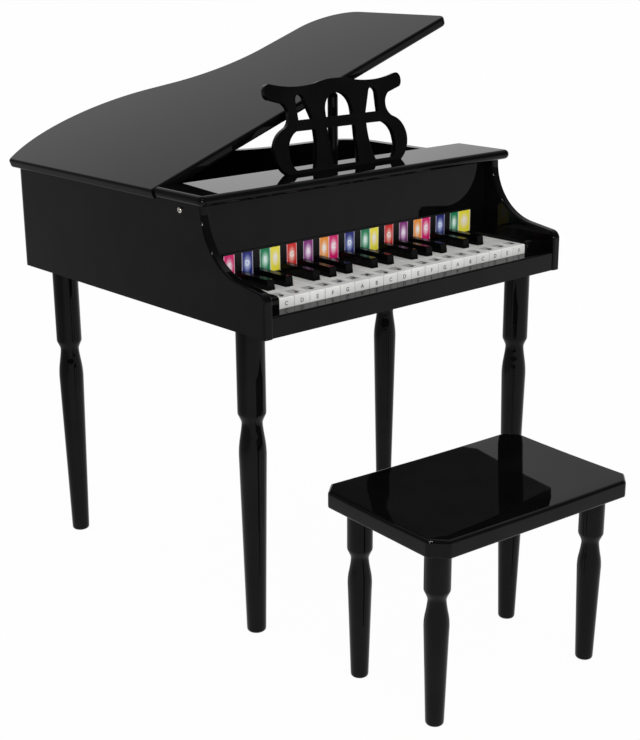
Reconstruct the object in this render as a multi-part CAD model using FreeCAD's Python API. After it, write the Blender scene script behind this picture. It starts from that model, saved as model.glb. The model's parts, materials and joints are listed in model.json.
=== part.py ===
"""Toy grand piano with its bench: lacquered case, lid on a prop, 30 keys that strike chime rods."""
import FreeCAD, Part
import math
import os

os.makedirs("parts", exist_ok=True)
V = FreeCAD.Vector

# All lengths in millimetres, angles in degrees.
# While it is built, x = 0 is the case's left face, y = 0 its front and z = 0 the floor.

# Case
case_width = 490.0
case_height = 131.0
leg_length = 369.0
wall = 12.0
bottom_thickness = 8.0
glue_gap = 0.1
edge_round = 2.5

# Cheek profile of the side panels
cheek_proud = 2.0
nose_radius = 11.0
arm_height = 51.0
arm_slope = 8.5
scoop_start = 43.5
scoop_lip = 3.0

# Plan of the bent rim
tail_x = 92.5
tail_depth = 523.2
tail_radius = 167.2
tail_inner_corner = 2.0
bent_angle = 44.7
bent_run = 33.0
waist_flat = 71.6
shoulder_radius = 56.2

# Top board, batten and lid
board_thickness = 12.0
board_overhang = 8.5
top_board_front = 92.0
top_board_depth = 88.0
top_board_round = 6.0
top_board_ease = 3.0
top_board_corner = 7.5
batten_gap = 5.0
batten_depth = 48.0
batten_height = 24.0
lid_seam = 1.0
lid_gap = 0.3
lid_round = 3.5
lid_tail_corner = 7.0
lid_front_corner = 11.0
lid_open = 19.87

# Lid hinges, each placed from its own end of the lid's straight side
hinge_length = 50.0
hinge_first = 54.0
hinge_second = 54.0
hinge_knuckles = 5
hinge_leaf_width = 10.0
hinge_leaf_thickness = 1.2
knuckle_radius = 2.5
knuckle_clearance = 0.4
knuckle_gap = 0.2
pin_radius = 1.0
pin_clearance = 0.05

# Lid prop
prop_x = 271.0
prop_radius = 6.5
prop_wall_gap = 0.5
prop_pivot_drop = 14.0
prop_foot = 10.0
prop_foot_round = 2.5
prop_lid_gap = 0.9
prop_screw_radius = 2.0
prop_screw_head_radius = 4.5
prop_screw_head = 3.0
prop_screw_grip = 16.0

# Keyboard
rail_depth = 20.0
rail_height = 24.0
rail_round = 2.0
white_group_counts = (3, 4, 3, 4, 3, 1)
white_front = 22.5
white_gap = 0.9
white_depth = 14.0
white_cap = 3.5
white_apron = 2.5
white_lever_gap = 0.5
white_chamfer = 0.8
black_slot = 11.6
black_width = 10.2
black_front = 59.0
black_front_slope = 1.2
black_rise = 11.2
black_chamfer = 1.0
notch_clearance = 1.2
head_card_gap = 1.5
head_end = 9.0
block_width = 27.0
block_rise = 3.5
block_round = 5.0
block_gap = 0.6
fallboard_front = 119.5
fallboard_thickness = 9.5
fallboard_lift = 2.0
card_thickness = 1.5
card_height = 31.5

# Key action
balance_setback = 8.5
rod_radius = 1.5
rod_clearance = 0.05
lever_width = 8.0
lever_height = 9.0
key_dip = 7.0
hammer_reach = 132.0
hammer_depth = 10.0
hammer_rise = 16.7
hammer_round = 3.7
fin_thickness = 2.0
fin_depth = 12.0
fin_cap = 5.0
frame_front_setback = 14.5
frame_back_reach = 92.0
frame_strip = 18.0
frame_front_height = 4.7
frame_balance_strip = 24.0
frame_balance_height = 8.0
frame_tie = 12.0
frame_tie_height = 4.0
felt_thickness = 3.0
felt_gap = 0.2

# Chimes
chime_bar_gap = 3.0
chime_bar_depth = 14.0
chime_bar_height = 16.0
chime_bar_foot = 14.0
chime_foot_gap = 2.5
chime_radius = 1.5
chime_fit = 0.03
chime_seat = 10.0
chime_strike_gap = 0.5
chime_tail_gap = 21.6

# Music stand
stand_setback = 46.0
stand_width = 221.0
stand_height = 107.0
stand_sink = 6.0
stand_thickness = 7.0
stand_lean = 12.0
stand_tenon_x = 34.0
stand_tenon_width = 18.0
stand_tenon_thickness = 6.0
stand_tenon_depth = 7.0
tenon_clearance = 0.1

# Turned legs
leg_radius = 16.4
leg_neck_radius = 12.2
leg_swell_radius = 16.0
leg_foot_radius = 11.4
leg_shoulder = 97.0
leg_neck = 106.0
leg_swell = 146.0
leg_toe = 4.0
front_leg_in = 9.0
front_leg_y = 49.5
back_left_leg_in = 15.6
back_left_leg_setback = 44.6
back_right_leg_in = 9.5
back_right_leg_setback = 47.0
bolt_radius = 4.0
bolt_clearance = 0.1
bolt_head_radius = 7.0
bolt_head = 4.0
bolt_depth = 40.0
bolt_end_gap = 1.0
bolt_pocket_gap = 0.5

# Side screws
screw_in = 8.4
screw_drop = 9.4
screw_radius = 2.0
screw_head_radius = 3.6
screw_head = 2.2
screw_head_round = 1.3
screw_length = 32.0
screw_clearance = 0.05

# Bench
seat_width = 286.0
seat_depth = 190.0
seat_thickness = 20.0
seat_top = 221.5
seat_clip = 16.0
seat_round = 4.0
seat_x = 147.0
seat_y = -178.5
seat_turn = -4.5
bench_leg_in_x = 30.25
bench_leg_in_y = 33.0
bench_leg_radius = 14.0
bench_neck_radius = 9.8
bench_swell_radius = 13.4
bench_foot_radius = 9.9
bench_shoulder = 47.5
bench_neck = 55.5
bench_swell = 88.0
bench_toe = 3.0
bench_tenon_radius = 8.0
bench_tenon = 10.0
bench_tenon_clearance = 0.05

# Heights and places that follow from the sizes above
case_bottom = leg_length
case_top = case_bottom + case_height
floor_top = case_bottom + bottom_thickness
board_top = case_top + board_thickness
tail_corner_radius = wall + tail_inner_corner
top_board_back = top_board_front + top_board_depth
lid_bottom = case_top + lid_gap
lid_front = top_board_back + lid_seam
hinge_z = case_top + lid_gap / 2
card_front = fallboard_front - card_thickness
head_back = card_front - head_card_gap
balance_y = head_back + balance_setback
key_angle = math.degrees(math.asin(key_dip / (balance_y - white_front)))
frame_front_y = white_front + frame_front_setback
frame_back_y = balance_y + frame_back_reach
front_felt_dip = (balance_y - frame_front_y + frame_strip / 2) * math.sin(math.radians(key_angle))
front_felt_top = floor_top + frame_front_height + felt_thickness
lever_bottom = front_felt_top + felt_gap + front_felt_dip
balance_z = lever_bottom + lever_height / 2
lever_top = lever_bottom + lever_height
key_top = lever_top + white_cap
key_bottom = key_top - white_depth
keyboard_left = wall + block_width + block_gap
keyboard_right = case_width - keyboard_left
white_pitch = (keyboard_right - keyboard_left) / sum(white_group_counts)
hammer_y = balance_y + hammer_reach
hammer_z = key_top + hammer_rise
hammer_front = hammer_y - hammer_depth / 2
hammer_back = hammer_y + hammer_depth / 2
chime_bar_back = hammer_front - chime_bar_gap
chime_bar_front = chime_bar_back - chime_bar_depth
fallboard_bottom = key_top + fallboard_lift
batten_front = fallboard_front + fallboard_thickness + batten_gap
batten_back = batten_front + batten_depth
screw_y = batten_front + screw_in
stand_y = top_board_front + stand_setback
front_leg_inset = wall + front_leg_in
seat_bottom = seat_top - seat_thickness
prop_pivot_z = case_top - prop_pivot_drop
prop_y = batten_back + prop_wall_gap + prop_radius
screw_z = case_top - screw_drop

# Centres of the bent rim's arcs
tail_centre = V(tail_x, tail_depth - tail_radius)
bent_normal = 90 - bent_angle


def at_angle(centre, radius, angle):
    """Point on a circle in plan."""
    turn = math.radians(angle)
    return centre + V(radius * math.cos(turn), radius * math.sin(turn))


def tail_corner(grow, radius):
    """Centre of the round between the spine and the tail's arc, and the angle where it meets the arc."""
    across = radius - grow - tail_centre.x
    along_spine = math.sqrt((tail_radius + grow - radius) ** 2 - across ** 2)
    return tail_centre + V(across, along_spine), math.degrees(math.atan2(along_spine, across))


bent_start = at_angle(tail_centre, tail_radius, bent_normal)
bent_end = bent_start + V(math.cos(math.radians(bent_angle)), -math.sin(math.radians(bent_angle))) * bent_run
shoulder_x = case_width - shoulder_radius
waist_radius = (shoulder_x - waist_flat - bent_end.x) / math.cos(math.radians(bent_normal))
waist_centre = at_angle(bent_end, waist_radius, bent_normal)
shoulder_centre = V(shoulder_x, waist_centre.y - waist_radius - shoulder_radius)
spine_end = tail_corner(0, tail_corner_radius)[0].y
right_end = shoulder_centre.y
waist_inside = waist_centre.y - waist_radius - wall
chime_longest = spine_end - wall - chime_tail_gap - chime_bar_back
chime_shortest = (waist_inside - chime_bar_back) / 2

pieces = {}


def keep(name, *solids):
    """Store the solids of one node."""
    pieces[name] = Part.makeCompound(list(solids)) if len(solids) > 1 else solids[0]


def box(x0, x1, y0, y1, z0, z1):
    """Block between two corners."""
    return Part.makeBox(x1 - x0, y1 - y0, z1 - z0, V(x0, y0, z0))


def bar(start, end, radius):
    """Round bar from one point to another."""
    run = end - start
    return Part.makeCylinder(radius, run.Length, start, run)


def line(start, end):
    return Part.LineSegment(start, end).toShape()


def arc(start, via, end):
    return Part.Arc(start, via, end).toShape()


def path(start, *legs):
    """Edges through the legs: a point is a straight leg, a pair of points an arc by way of the first."""
    edges = []
    here = start
    for leg in legs:
        if isinstance(leg, tuple):
            edges.append(arc(here, leg[0], leg[1]))
            here = leg[1]
        else:
            edges.append(line(here, leg))
            here = leg
    return edges


def prism(edges, travel):
    """Solid made by moving the face inside the edges."""
    return Part.Face(Part.Wire(Part.__sortEdges__(edges))).extrude(travel)


def polygon(points):
    """Straight edges round a closed outline, leaving out points that its shape doesn't need."""
    corners = []
    for i, point in enumerate(points):
        before = point - points[i - 1]
        after = points[(i + 1) % len(points)] - point
        if before.Length > 1e-6 and before.cross(after).Length > 1e-6:
            corners.append(point)
    return path(corners[0], *corners[1:], corners[0])


def round_edges(solid, radius, chosen):
    return solid.makeFillet(radius, [edge for edge in solid.Edges if chosen(edge)])


def on_level(z):
    """Test for edges that lie flat at one height."""
    return lambda edge: abs(edge.BoundBox.ZMin - z) < 1e-6 and abs(edge.BoundBox.ZMax - z) < 1e-6


# Case outline in plan

def round_by(centre, radius, start, end):
    """Arc of the plan about a centre, from one angle to another."""
    return arc(at_angle(centre, radius, start), at_angle(centre, radius, (start + end) / 2),
               at_angle(centre, radius, end))


def bent_path(grow, corner):
    """Bent rim's line from the spine round to the right side, moved outwards by grow."""
    tail = tail_radius + grow
    waist = waist_radius - grow
    corner_centre, corner_angle = tail_corner(grow, corner)
    return [
        round_by(corner_centre, corner, 180, corner_angle),
        round_by(tail_centre, tail, corner_angle, bent_normal),
        line(at_angle(tail_centre, tail, bent_normal), at_angle(waist_centre, waist, 180 + bent_normal)),
        round_by(waist_centre, waist, 180 + bent_normal, 270),
        line(at_angle(waist_centre, waist, 270), at_angle(shoulder_centre, shoulder_radius + grow, 90)),
        round_by(shoulder_centre, shoulder_radius + grow, 90, 0),
    ]


def case_plan(grow, corner, front):
    """Closed plan of the case, cut off square at the front."""
    left_back = V(-grow, tail_corner(grow, corner)[0].y)
    right_back = V(case_width + grow, right_end)
    sides = path(right_back, V(right_back.x, front), V(left_back.x, front), left_back)
    return bent_path(grow, corner) + sides


def lifted(edges, z):
    """Edges moved up to a height."""
    moved = [edge.copy() for edge in edges]
    for edge in moved:
        edge.translate(V(0, 0, z))
    return moved


# Lid hinges: places shared by the panel, the lid and the hardware

def hinge_spans():
    centres = (lid_front + hinge_first, spine_end - hinge_second)
    return [(y - hinge_length / 2, y + hinge_length / 2) for y in centres]


def hinge_axis(y0, y1, radius):
    return bar(V(0, y0, hinge_z), V(0, y1, hinge_z), radius)


def knuckle_room():
    """Space that the hinge barrels need in the panel and the lid."""
    spare = knuckle_clearance
    return [hinge_axis(y0 - spare, y1 + spare, knuckle_radius + spare) for y0, y1 in hinge_spans()]


def case_leaf(y0, y1):
    return box(0, hinge_leaf_width, y0, y1, case_top - hinge_leaf_thickness, case_top)


def lid_leaf(y0, y1):
    return box(0, hinge_leaf_width, y0, y1, lid_bottom, lid_bottom + hinge_leaf_thickness)


def hinge_half(leaf, y0, y1, first):
    """One leaf with its share of the knuckles, bored for the pin."""
    step = (y1 - y0) / hinge_knuckles
    half = leaf(y0, y1).cut(hinge_axis(y0, y1, knuckle_radius + knuckle_clearance))
    for i in range(hinge_knuckles):
        low = y0 + i * step + knuckle_gap / 2
        high = y0 + (i + 1) * step - knuckle_gap / 2
        if i % 2 == first:
            web = leaf(low, high)
            half = half.fuse([hinge_axis(low, high, knuckle_radius), web])
    return half.cut(hinge_axis(y0, y1, pin_radius + pin_clearance)).removeSplitter()


def turn_lid(solid):
    """Lid pieces are drawn closed and then opened on the hinge line."""
    solid.rotate(V(0, 0, hinge_z), V(0, -1, 0), lid_open)
    return solid


def make_hinges():
    keep("hinge_case_leaves", *[hinge_half(case_leaf, y0, y1, 0) for y0, y1 in hinge_spans()])
    keep("hinge_lid_leaves", *[turn_lid(hinge_half(lid_leaf, y0, y1, 1)) for y0, y1 in hinge_spans()])
    keep("hinge_pins", *[hinge_axis(y0, y1, pin_radius) for y0, y1 in hinge_spans()])


# Case

def side_screw(x, inward):
    """Pan-head screw into the end of the batten."""
    face = V(x, screw_y, screw_z)
    away = V(inward, 0, 0)
    crown = face - away * screw_head
    head = bar(crown, face, screw_head_radius)
    head = round_edges(head, screw_head_round, lambda edge: abs(edge.CenterOfMass.x - crown.x) < 1e-6)
    return head.fuse(bar(face, face + away * screw_length, screw_radius)).removeSplitter()


def screw_holes():
    reach = V(screw_length, 0, 0)
    left = V(0, screw_y, screw_z)
    right = V(case_width, screw_y, screw_z)
    radius = screw_radius + screw_clearance
    return [bar(left, left + reach, radius), bar(right - reach, right, radius)]


def on_side(centre, radius, angle):
    """Point on a circle drawn on a side panel."""
    turn = math.radians(angle)
    return centre + V(0, radius * math.cos(turn), radius * math.sin(turn))


def side_panel(x0, back):
    """Side of the case with a rounded nose, a rising arm and a scoop up to the top board."""
    front = -cheek_proud
    slope = math.radians(arm_slope)
    nose_centre = V(x0, front + nose_radius, case_bottom + arm_height - nose_radius * math.cos(slope))
    nose_end = on_side(nose_centre, nose_radius, 90 + arm_slope)
    arm_end = nose_end + V(0, 1, math.tan(slope)) * (scoop_start - nose_end.y)
    scoop_z = case_top - scoop_lip
    scoop_radius = (scoop_z - arm_end.z) / math.cos(slope)
    scoop_centre = V(x0, arm_end.y - scoop_radius * math.sin(slope), scoop_z)
    scoop_back = scoop_centre.y + scoop_radius
    nose_via = on_side(nose_centre, nose_radius, 135 + arm_slope / 2)
    scoop_via = on_side(scoop_centre, scoop_radius, arm_slope / 2 - 45)
    edges = path(
        V(x0, front, case_bottom), V(x0, front, nose_centre.z), (nose_via, nose_end), arm_end,
        (scoop_via, V(x0, scoop_back, scoop_z)), V(x0, scoop_back, case_top),
        V(x0, back, case_top), V(x0, back, case_bottom), V(x0, front, case_bottom))
    panel = prism(edges, V(wall, 0, 0))

    def on_cheek(edge):
        middle = edge.CenterOfMass
        flat = edge.BoundBox.XLength < 1e-6
        return flat and middle.y < scoop_back + 1e-3 and middle.z > case_bottom + 1e-3

    return round_edges(panel, edge_round, on_cheek)


def make_case():
    holes = screw_holes()
    left = side_panel(0, spine_end).cut(knuckle_room() + holes)
    left = left.cut([case_leaf(y0, y1) for y0, y1 in hinge_spans()])
    keep("left_side_panel", left)
    keep("right_side_panel", side_panel(case_width - wall, right_end).cut(holes))

    left_end = path(V(0, spine_end), V(wall, spine_end))
    right_face = path(V(case_width - wall, right_end), V(case_width, right_end))
    inner = bent_path(-wall, tail_inner_corner)
    rim = bent_path(0, tail_corner_radius) + inner + left_end + right_face
    keep("bent_rim", prism(lifted(rim, case_bottom), V(0, 0, case_height)))

    plan = case_plan(-wall - glue_gap, tail_inner_corner - glue_gap, rail_depth + glue_gap)
    floor = prism(lifted(plan, case_bottom), V(0, 0, bottom_thickness))
    bolts = [bolt_hole(x, y) for x, y in leg_places()]
    keep("bottom_board", floor.cut(bolts))

    rail_top = case_bottom + rail_height
    rail = box(wall, case_width - wall, 0, rail_depth, case_bottom, rail_top)

    def top_front(edge):
        return on_level(rail_top)(edge) and edge.BoundBox.YMax < 1e-6

    keep("front_rail", round_edges(rail, rail_round, top_front))
    keep("case_screws", side_screw(0, 1), side_screw(case_width, -1))
    keep("top_batten", make_batten())


def make_batten():
    """Cross batten under the top board, bored for the side screws and the prop's screw."""
    batten = box(wall, case_width - wall, batten_front, batten_back, case_top - batten_height, case_top)
    back = V(prop_x, batten_back, prop_pivot_z)
    thread = bar(back - V(0, prop_screw_grip, 0), back, prop_screw_radius + screw_clearance)
    return batten.cut(screw_holes() + [thread])


def make_boards():
    """Top board with a rounded front and ends, fallboard and note card."""
    left, right = -board_overhang, case_width + board_overhang
    top = box(left, right, top_board_front, top_board_back, case_top, board_top)

    def free_top(edge):
        return on_level(board_top)(edge) and edge.BoundBox.YMin < top_board_back - 1e-6

    def free_bottom(edge):
        return on_level(case_top)(edge) and edge.BoundBox.YMin < top_board_back - 1e-6

    def front_corner(edge):
        return edge.BoundBox.ZLength > board_thickness / 2 and edge.BoundBox.YMax < top_board_front + 1e-6

    top = round_edges(top, top_board_corner, front_corner)
    top = round_edges(top, top_board_round, free_top)
    top = round_edges(top, top_board_ease, free_bottom)
    keep("top_board", top.cut([tenon(side, tenon_clearance) for side in (-1, 1)]))

    fallboard = box(wall, case_width - wall, fallboard_front, fallboard_front + fallboard_thickness,
                    fallboard_bottom, case_top)
    keep("fallboard", fallboard)
    card = box(keyboard_left, keyboard_right, card_front, fallboard_front, fallboard_bottom,
               fallboard_bottom + card_height)
    keep("note_card", card)


def key_block(x0, x1, leg_x):
    """Block that closes one end of the keyboard, hollowed over the leg bolt's head."""
    top = key_top + block_rise
    block = box(x0, x1, rail_depth, card_front, floor_top, top)

    def front_top(edge):
        return on_level(top)(edge) and edge.BoundBox.YMax < rail_depth + 1e-6

    block = round_edges(block, block_round, front_top)
    mouth = V(leg_x, front_leg_y, floor_top)
    roof = mouth + V(0, 0, bolt_head + bolt_pocket_gap)
    return block.cut(bar(mouth, roof, bolt_head_radius + bolt_pocket_gap))


def make_key_blocks():
    left = key_block(wall, keyboard_left - block_gap, front_leg_inset)
    right = key_block(keyboard_right + block_gap, case_width - wall, case_width - front_leg_inset)
    keep("key_blocks", left, right)


def make_lid():
    plan = lifted(case_plan(board_overhang, lid_tail_corner, lid_front), lid_bottom)
    lid = prism(plan, V(0, 0, board_thickness))

    def right_front(edge):
        centre = edge.CenterOfMass
        upright = edge.BoundBox.ZLength > board_thickness / 2
        return upright and centre.x > case_width and centre.y < lid_front + 1e-6

    lid = round_edges(lid, lid_front_corner, right_front)
    lid = round_edges(lid, lid_round, lambda edge: edge.BoundBox.ZLength < 1e-6)
    lid = lid.cut(knuckle_room() + [lid_leaf(y0, y1) for y0, y1 in hinge_spans()])
    keep("lid", turn_lid(lid))


def make_prop():
    """Round stick on a screw in the batten's back, with a domed end under the lid."""
    slope = math.radians(lid_open)
    reach = prop_x * math.sin(slope) + lid_gap / 2 - prop_radius - prop_lid_gap
    dome = V(prop_x, prop_y, hinge_z + reach / math.cos(slope))
    foot = V(prop_x, prop_y, prop_pivot_z - prop_foot)
    stick = bar(foot, dome, prop_radius).fuse(Part.makeSphere(prop_radius, dome)).removeSplitter()
    stick = round_edges(stick, prop_foot_round, on_level(foot.z))
    back = prop_y + prop_radius
    pivot = V(prop_x, batten_back, prop_pivot_z)
    away = V(0, 1, 0)
    through = away * 2 * (prop_radius + prop_wall_gap)
    bore = bar(pivot, pivot + through, prop_screw_radius + rod_clearance)
    keep("lid_prop", stick.cut(bore))
    head_seat = V(prop_x, back + prop_wall_gap, prop_pivot_z)
    head = bar(head_seat, head_seat + away * prop_screw_head, prop_screw_head_radius)
    shank = bar(pivot - away * prop_screw_grip, head_seat, prop_screw_radius)
    keep("prop_screw", head.fuse(shank).removeSplitter())


# Keyboard

def key_layout():
    """Each key's name, kind and x limits: white heads, and tails shared with the black slots."""
    letters = ("c", "d", "e", "f", "g", "a", "b")
    keys = []
    left = keyboard_left
    step = 0
    for count in white_group_counts:
        tail = (count * white_pitch - (count - 1) * black_slot) / count
        for i in range(count):
            letter = letters[step % len(letters)]
            head = (left + i * white_pitch, left + (i + 1) * white_pitch)
            start = left + i * (tail + black_slot)
            keys.append((letter, "white", head, (start, start + tail)))
            if i < count - 1:
                keys.append((letter + "_sharp", "black", None, (start + tail, start + tail + black_slot)))
            step += 1
        left += count * white_pitch
    return [("key_%02d_%s" % (i, name), *rest) for i, (name, *rest) in enumerate(keys, 1)]


def middle(span):
    return (span[0] + span[1]) / 2


def lever(x, front):
    """Key's bar: bored for the balance rod, with the hammer head at its end."""
    x0 = x - lever_width / 2
    crown = hammer_z - hammer_round
    edges = path(
        V(x0, front, lever_bottom), V(x0, hammer_back, lever_bottom), V(x0, hammer_back, crown),
        (V(x0, hammer_y, hammer_z), V(x0, hammer_front, crown)), V(x0, hammer_front, lever_top),
        V(x0, front, lever_top), V(x0, front, lever_bottom))
    half = V(lever_width, 0, 0)
    centre = V(x, balance_y, balance_z)
    bore = bar(centre - half, centre + half, rod_radius + rod_clearance)
    return prism(edges, V(lever_width, 0, 0)).cut(bore)


def white_key(head, tail):
    """Moulded cap, a plate notched for the black keys with an apron in front, glued on its lever."""
    side = white_gap / 2
    notch = black_front - notch_clearance
    head_left, head_right = head[0] + side, head[1] - side
    tail_left, tail_right = tail[0] + side, tail[1] - side
    corners = [
        (head_left, white_front), (head_right, white_front), (head_right, notch), (tail_right, notch),
        (tail_right, head_back), (tail_left, head_back), (tail_left, notch), (head_left, notch)]
    plate = prism(polygon([V(x, y, lever_top) for x, y in corners]), V(0, 0, white_cap))
    plate = plate.makeChamfer(white_chamfer, [edge for edge in plate.Edges if on_level(key_top)(edge)])
    apron_back = white_front + white_apron
    apron = box(head_left, head_right, white_front, apron_back, key_bottom, lever_top)
    return plate.fuse(apron).removeSplitter(), lever(middle(tail), apron_back + white_lever_gap)


def black_key(tail):
    """Raised key with a sloping front and eased top edges."""
    x = middle(tail)
    x0 = x - black_width / 2
    top = key_top + black_rise
    edges = path(
        V(x0, black_front, key_bottom), V(x0, black_front, key_top),
        V(x0, black_front + black_front_slope, top), V(x0, head_back, top),
        V(x0, head_back, key_bottom), V(x0, black_front, key_bottom))
    head = prism(edges, V(black_width, 0, 0))
    head = head.makeChamfer(black_chamfer, [edge for edge in head.Edges if on_level(top)(edge)])
    return head.fuse(lever(x, head_back - head_end)).removeSplitter()


def make_keys():
    for name, kind, head, tail in key_layout():
        if kind == "white":
            keep(name, *white_key(head, tail))
        else:
            keep(name, black_key(tail))


def fin_places():
    """Fins stand at both ends and between the groups, where no black key is."""
    places = [keyboard_left]
    for count in white_group_counts:
        places.append(places[-1] + count * white_pitch)
    return places


def make_key_frame():
    """Frame on the bottom board: front, balance and back strips, ties, and the fins that hold the rod."""
    back_felt_top = lever_bottom - felt_gap
    strips = [
        (frame_front_y, frame_strip, front_felt_top - felt_thickness),
        (balance_y, frame_balance_strip, floor_top + frame_balance_height),
        (frame_back_y, frame_strip, back_felt_top - felt_thickness)]
    frame = []
    for y, depth, top in strips:
        frame.append(box(keyboard_left, keyboard_right, y - depth / 2, y + depth / 2, floor_top, top))
    for x in (keyboard_left, case_width / 2 - frame_tie / 2, keyboard_right - frame_tie):
        frame.append(box(x, x + frame_tie, frame_front_y + frame_strip / 2, frame_back_y - frame_strip / 2,
                         floor_top, floor_top + frame_tie_height))
    fins = []
    last = len(white_group_counts)
    for i, x in enumerate(fin_places()):
        shift = fin_thickness * (0 if i == 0 else 1 if i == last else 0.5)
        left = x - shift
        fins.append(box(left, left + fin_thickness, balance_y - fin_depth / 2,
                        balance_y + fin_depth / 2, floor_top, balance_z + fin_cap))
    body = frame[0].fuse(frame[1:] + fins)
    left = V(keyboard_left, balance_y, balance_z)
    right = V(keyboard_right, balance_y, balance_z)
    keep("key_frame", body.cut(bar(left, right, rod_radius + rod_clearance)).removeSplitter())
    keep("balance_rod", bar(left, right, rod_radius))
    front = strips[0]
    back = strips[2]
    felts = [box(keyboard_left, keyboard_right, y - depth / 2, y + depth / 2, top, top + felt_thickness)
             for y, depth, top in (front, back)]
    keep("key_felts", *felts)


def chime_z():
    """Height of the chime rods: just out of reach of a hammer at the end of its stroke."""
    swing = math.radians(key_angle)
    top = hammer_reach * math.sin(swing) + (hammer_z - balance_z) * math.cos(swing)
    return balance_z + top + chime_strike_gap + chime_radius


def make_chimes():
    """Cast bar on two feet, with a tuned rod over every hammer."""
    z = chime_z()
    left = keyboard_left - chime_foot_gap
    right = keyboard_right + chime_foot_gap
    front, back = chime_bar_front, chime_bar_back
    low = z - chime_bar_height / 2
    beam = box(left - chime_bar_foot, right + chime_bar_foot, front, back, low, low + chime_bar_height)
    feet = [box(x, x + chime_bar_foot, front, back, floor_top, low) for x in (left - chime_bar_foot, right)]
    casting = beam.fuse(feet).removeSplitter()
    rods = []
    seats = []
    layout = key_layout()
    for i, (name, kind, head, tail) in enumerate(layout):
        length = chime_longest + (chime_shortest - chime_longest) * i / (len(layout) - 1)
        root = V(middle(tail), back - chime_seat, z)
        rods.append(bar(root, V(root.x, back + length, z), chime_radius))
        seats.append(bar(root, V(root.x, back, z), chime_radius + chime_fit))
    keep("chime_bar", casting.cut(seats))
    keep("chime_rods", *rods)


# Music stand

def tenon(side, spare):
    """Tongue under one stem of the music stand, grown by spare to make its mortise."""
    x = case_width / 2 + side * stand_tenon_x
    half = stand_tenon_width / 2 + spare
    depth = stand_tenon_thickness / 2 + spare
    low = board_top - stand_tenon_depth - spare
    return box(x - half, x + half, stand_y - depth, stand_y + depth, low, board_top)


def stand_points(points):
    """Points of the stand's face, in hundredths of its half width and of its height."""
    wide = stand_width / 200
    high = stand_height / 100
    return [V(case_width / 2 + x * wide, 0, board_top + z * high) for x, z in points]


def mirrored(edges):
    centre = V(case_width / 2, 0, 0)
    return [edge.mirror(centre, V(1, 0, 0)) for edge in edges]


def stand_outline():
    """Lyre outline: foot, bulging side, drawn-in neck, horn, and the low crown in the middle."""
    p = stand_points([
        (0, 0), (84.2, 0), (95, 12.1), (98.2, 26.2), (94.1, 39.3), (81.4, 50), (71.2, 62.6), (77.8, 78),
        (93.7, 85.5), (100, 92.1), (91.4, 99.5), (53.4, 94.4), (29, 96.3), (14.9, 99.1), (0, 100)])
    sunk = V(0, 0, -stand_sink)
    right = path(p[0] + sunk, p[1] + sunk, p[1], (p[2], p[3]), (p[4], p[5]), (p[6], p[7]), p[8],
                 (p[9], p[10]), (p[11], p[12]), (p[13], p[14]))
    return right + mirrored(right)


def stand_windows():
    """Six openings: an arch with a leaning window each side, and three below the crossbar."""
    a = stand_points([(19.9, 57.9), (19.9, 64), (0, 84.6), (-19.9, 64), (-19.9, 57.9)])
    arch = path(a[0], a[1], (a[2], a[3]), a[4], a[0])
    w = stand_points([(38.9, 57.9), (59.5, 57.9), (60, 79), (53.5, 86), (47, 80)])
    window = path(w[0], w[1], w[2], (w[3], w[4]), w[0])
    c = stand_points([(-20.8, 45.8), (20.8, 45.8), (19, 3.7), (-19, 3.7)])
    centre = path(c[0], c[1], c[2], c[3], c[0])
    s = stand_points([
        (38, 45.8), (64.3, 45.8), (74.2, 37.9), (78.3, 25.2),
        (77.4, 13), (71.5, 3.7), (44.8, 3.7), (38.9, 26)])
    side = path(s[0], s[1], (s[2], s[3]), (s[4], s[5]), s[6], (s[7], s[0]))
    return [arch, window, mirrored(window), centre, side, mirrored(side)]


def make_stand():
    depth = V(0, stand_thickness, 0)
    plate = prism(stand_outline(), depth)
    plate = plate.cut([prism(window, depth) for window in stand_windows()])
    plate.translate(V(0, stand_y - stand_thickness / 2, 0))
    plate.rotate(V(0, stand_y, board_top), V(1, 0, 0), -stand_lean)
    reach = 2 * stand_thickness
    below = box(0, case_width, stand_y - reach, stand_y + reach, case_top, board_top)
    plate = plate.cut(below)
    keep("music_stand", plate.fuse([tenon(side, 0) for side in (-1, 1)]).removeSplitter())


# Legs

def ogee(start, end):
    """Two arcs that flow from one radius of a turned leg to another, upright at both ends."""
    half = (end - start) / 2
    bend = (half.x ** 2 + half.z ** 2) / (2 * abs(half.x))
    turn = math.asin(half.z / bend) / 2
    out = math.copysign(bend, half.x)
    first = start + V(out * (1 - math.cos(turn)), 0, bend * math.sin(turn))
    return [(first, start + half), (start + end - first, end)]


def turned(x, y, top, radii, drops, toe, tenon_length=0, tenon_radius=0):
    """Turned leg: round post, neck, swell and a taper to the foot."""
    post, neck, swell, foot = radii
    shoulder_z, neck_z, swell_z = [top - drop for drop in drops]
    swell_point = V(swell, 0, swell_z)
    neck_point = V(neck, 0, neck_z)
    eased = toe * (1 - math.sqrt(0.5))
    toe_via = V(foot - eased, 0, eased)
    start = [V(0, 0, 0), V(foot - toe, 0, 0)]
    crown = [V(post, 0, top)]
    if tenon_length:
        end = top + tenon_length
        crown += [V(tenon_radius, 0, top), V(tenon_radius, 0, end), V(0, 0, end)]
    else:
        crown += [V(0, 0, top)]
    edges = path(
        *start, (toe_via, V(foot, 0, toe)), swell_point, *ogee(swell_point, neck_point),
        *ogee(neck_point, V(post, 0, shoulder_z)), *crown, V(0, 0, 0))
    leg = Part.Face(Part.Wire(edges)).revolve(V(0, 0, 0), V(0, 0, 1), 360)
    leg = Part.Solid(leg) if leg.ShapeType == "Shell" else leg
    leg.translate(V(x, y, 0))
    return leg


def leg_places():
    return [
        (front_leg_inset, front_leg_y), (case_width - front_leg_inset, front_leg_y),
        (wall + back_left_leg_in, spine_end - back_left_leg_setback),
        (case_width - wall - back_right_leg_in, right_end - back_right_leg_setback)]


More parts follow.
